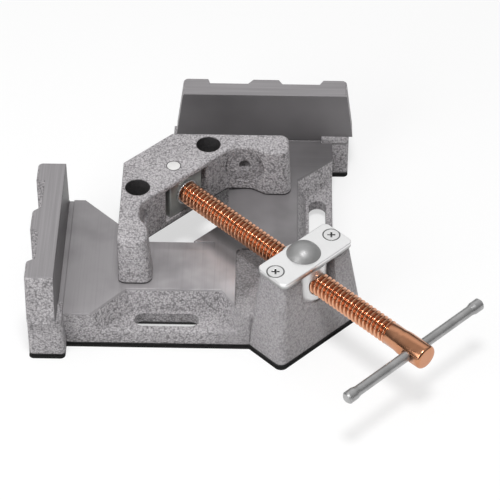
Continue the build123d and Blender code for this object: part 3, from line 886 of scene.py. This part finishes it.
def camera():
    look = Vector(
        (
            math.sin(CAMERA_YAW) * math.cos(CAMERA_PITCH),
            math.cos(CAMERA_YAW) * math.cos(CAMERA_PITCH),
            -math.sin(CAMERA_PITCH),
        )
    )
    right = Vector((math.cos(CAMERA_YAW), -math.sin(CAMERA_YAW), 0.0))
    up = right.cross(look)
    cos, sin = math.cos(CAMERA_ROLL), math.sin(CAMERA_ROLL)
    right, up = right * cos + up * sin, up * cos - right * sin
    data = bpy.data.cameras.new("camera")
    data.lens = CAMERA_LENS
    data.sensor_width = CAMERA_SENSOR
    data.clip_end = CAMERA_REACH
    piece = add_piece("camera", data)
    turn = Matrix((right, up, -look)).transposed().to_4x4()
    piece.matrix_world = Matrix.Translation(CAMERA_PLACE) @ turn
    bpy.context.scene.camera = piece


def seen_directly(wires):
    """1 for rays from the camera, a mirror or glass, and 0 for light on the object."""
    path = wires.add("ShaderNodeLightPath").outputs
    return wires.either(path["Is Camera Ray"], path["Is Glossy Ray"], path["Is Transmission Ray"])


def floor():
    """A pale floor that keeps shadows, and looks nearly white where it is seen directly."""
    mesh = bpy.data.meshes.new("floor")
    half = FLOOR_HALF
    mesh.from_pydata(
        [(-half, -half, 0), (half, -half, 0), (half, half, 0), (-half, half, 0)], [], [(0, 1, 2, 3)]
    )
    material = bpy.data.materials.new("pale_floor")
    wires = Wiring(cleared_tree(material))
    matt = wires.add("ShaderNodeBsdfDiffuse", {"Color": gray(FLOOR_GRAY)})
    white = wires.add("ShaderNodeEmission", {"Color": gray(1.0), "Strength": 1.0})
    share = wires.times(seen_directly(wires), FLOOR_WHITE_SHARE)
    total = wires.add("ShaderNodeMixShader", {0: share, 1: matt.outputs[0], 2: white.outputs[0]})
    wires.add("ShaderNodeOutputMaterial", {"Surface": total.outputs[0]})
    mesh.materials.append(material)
    piece = add_piece("floor", mesh)


def contact_shadow():
    """The thin dark line on the floor along the front edges of the base."""
    mesh = bmesh.new()
    mesh.from_mesh(frame["nodes"]["base_casting"].data)
    upper = [face for face in mesh.faces if face.calc_center_median().z > SHADOW_HEIGHT]
    bmesh.ops.delete(mesh, geom=upper, context="FACES")
    bmesh.ops.translate(mesh, verts=mesh.verts, vec=(0.0, -SHADOW_REACH, SHADOW_HEIGHT))
    data = bpy.data.meshes.new("contact_shadow")
    mesh.to_mesh(data)
    mesh.free()

    material = bpy.data.materials.new("shadow")
    wires = Wiring(cleared_tree(material))
    dark = wires.add("ShaderNodeBsdfDiffuse", {"Color": gray(CONTACT_GRAY)})
    clear = wires.add("ShaderNodeBsdfTransparent")
    place = wires.add("ShaderNodeTexCoord").outputs["Object"]
    x, y, _ = wires.add("ShaderNodeSeparateXYZ", {0: place}).outputs
    minus_y = wires.minus(y)
    pocket = wires.both(
        wires.near(wires.math("MAXIMUM", x, minus_y), POCKET_MIDDLE, POCKET_HALF, HAIR),
        wires.fall(wires.math("MINIMUM", x, minus_y), POCKET_END, POCKET_END + HAIR),
    )
    cover = wires.add("ShaderNodeMixShader", {0: pocket, 1: dark.outputs[0], 2: clear.outputs[0]})
    wires.add("ShaderNodeOutputMaterial", {"Surface": cover.outputs[0]})
    data.materials.append(material)
    add_piece("contact_shadow", data)


def world():
    """A dim dome, shaded low in front of the clamp and brighter in a band behind it."""
    sky = bpy.data.worlds.new("studio")
    wires = Wiring(cleared_tree(sky))
    way = wires.add("ShaderNodeTexCoord").outputs["Generated"]
    _, backward, upward = wires.add("ShaderNodeSeparateXYZ", {0: way}).outputs
    dome = wires.ramp(upward, *DOME_RISE, *DOME_STRENGTH)
    low_front = wires.both(wires.fall(backward, *FRONT_FADE), wires.fall(upward, *LOW_FADE))
    glow = wires.both(
        wires.ramp(backward, *BEHIND_RISE),
        wires.near(upward, GLOW_MIDDLE, GLOW_HALF, GLOW_FADE),
    )
    shaded = wires.both(dome, wires.outside(wires.times(low_front, LOW_FRONT_SHADE)))
    strength = wires.math("ADD", shaded, wires.times(glow, GLOW_STRENGTH))
    light = wires.add("ShaderNodeBackground", {"Color": gray(1.0), "Strength": strength})
    wires.add("ShaderNodeOutputWorld", {"Surface": light.outputs[0]})
    bpy.context.scene.world = sky


def lamp(name, place, size, power):
    data = bpy.data.lights.new(name, "AREA")
    data.shape = "DISK"
    data.size = size
    data.energy = power
    piece = add_piece(name, data)
    toward = Vector(LAMP_AIM) - Vector(place)
    turn = toward.to_track_quat("-Z", "Y").to_matrix().to_4x4()
    piece.matrix_world = Matrix.Translation(place) @ turn


def dress(node, material):
    """Gives a CAD node's mesh a better material."""
    mesh = frame["nodes"][node].data
    mesh.materials.clear()
    mesh.materials.append(material)


camera()
floor()
contact_shadow()
world()
lamp("key", place=(0.12, -0.62, 1.68), size=0.40, power=17.0)
lamp("fill", place=(-0.85, -1.15, 0.75), size=1.1, power=9.5)

nose = metal_finish("nose_steel", gray(0.28), NOSE_GREENISH, roughness=0.42, metallic=0.6)
pin = metal_finish("pin_steel", gray(0.70, 0.01), gray(0.86, 0.01), roughness=0.40, metallic=0.4)
washer = metal_finish("washer_steel", gray(0.66), gray(0.80), roughness=0.25, metallic=1.0)
bar = metal_finish("bar_zinc", gray(0.34), gray(0.46), roughness=0.34, metallic=0.8)
dress("base_casting", base_finish())
dress("moving_jaw", jaw_finish())
dress("nose_block", nose)
dress("nose_pins", pin)
dress("jaw_pivot_pin", pin)
dress("thrust_washer", washer)
dress("swivel_nut", nut_finish())
dress("keeper_plate", plate_finish())
dress("plate_screws", fastener_finish())
dress("handle_bar", bar)
spindle(copper_finish())

bpy.context.scene.view_settings.view_transform = "Standard"
